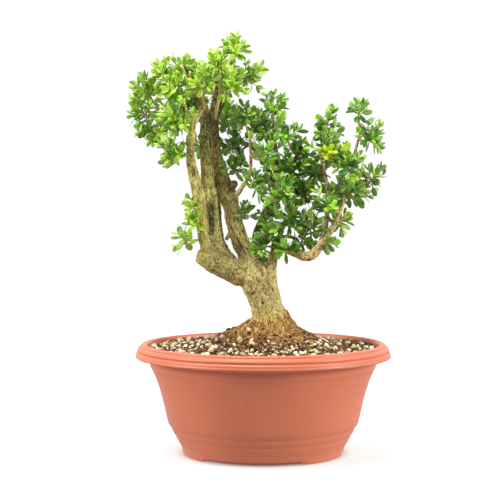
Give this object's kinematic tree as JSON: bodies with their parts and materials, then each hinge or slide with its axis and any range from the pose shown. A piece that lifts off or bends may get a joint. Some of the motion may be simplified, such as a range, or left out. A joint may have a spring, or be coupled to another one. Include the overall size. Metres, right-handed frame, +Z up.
{
  "type": "boxwood bonsai in a round pot",
  "caption": "Boxwood bonsai with a flared trunk, forked limbs and leafy sprays, standing in a round tapered plastic bowl filled with potting mix.",
  "frame": {"origin": "centre of the pot's underside, in the plane of its feet", "axes": "+Z up along the pot's axis; -Y towards the viewer of the picture, the tree's front; +X to that viewer's right"},
  "size_m": [0.3637, 0.35, 0.577],
  "materials": {
    "pot": "smooth terracotta-coloured moulded plastic, satin",
    "soil": "coarse potting mix of bark, dark crumbs and cream pumice grains",
    "bark": "rough grey-olive bark with fine cracks and moss",
    "leaf_left": "glossy bright green leaves and young stems",
    "leaf_sprig": "soft lime green young leaves",
    "leaf_middle": "glossy dark green leaves",
    "leaf_right": "glossy mid green leaves with a few yellow ones"
  },
  "bodies": {
    "root": {"pot": "pot", "soil": "soil", "tree": "bark", "spray_left_01": "leaf_left", "spray_left_02": "leaf_left", "spray_left_03": "leaf_left", "spray_left_04": "leaf_left", "spray_left_05": "leaf_left", "spray_left_06": "leaf_left", "spray_left_07": "leaf_left", "spray_left_08": "leaf_left", "spray_left_09": "leaf_left", "spray_left_10": "leaf_left", "spray_left_11": "leaf_left", "spray_left_12": "leaf_left", "spray_left_13": "leaf_left", "spray_left_14": "leaf_left", "spray_left_15": "leaf_left", "spray_left_16": "leaf_left", "spray_left_17": "leaf_left", "spray_left_18": "leaf_left", "spray_left_19": "leaf_left", "spray_sprig_01": "leaf_sprig", "spray_sprig_02": "leaf_sprig", "spray_sprig_03": "leaf_sprig", "spray_middle_01": "leaf_middle", "spray_middle_02": "leaf_middle", "spray_middle_03": "leaf_middle", "spray_middle_04": "leaf_middle", "spray_middle_05": "leaf_middle", "spray_middle_06": "leaf_middle", "spray_middle_07": "leaf_middle", "spray_middle_08": "leaf_middle", "spray_middle_09": "leaf_middle", "spray_middle_10": "leaf_middle", "spray_middle_11": "leaf_middle", "spray_middle_12": "leaf_middle", "spray_middle_13": "leaf_middle", "spray_middle_14": "leaf_middle", "spray_middle_15": "leaf_middle", "spray_middle_16": "leaf_middle", "spray_middle_17": "leaf_middle", "spray_middle_18": "leaf_middle", "spray_middle_19": "leaf_middle", "spray_middle_20": "leaf_middle", "spray_right_01": "leaf_right", "spray_right_02": "leaf_right", "spray_right_03": "leaf_right", "spray_right_04": "leaf_right", "spray_right_05": "leaf_right", "spray_right_06": "leaf_right", "spray_right_07": "leaf_right", "spray_right_08": "leaf_right", "spray_right_09": "leaf_right", "spray_right_10": "leaf_right", "spray_right_11": "leaf_right", "spray_right_12": "leaf_right", "spray_right_13": "leaf_right", "spray_right_14": "leaf_right", "spray_right_15": "leaf_right"}
  },
  "joints": []
}
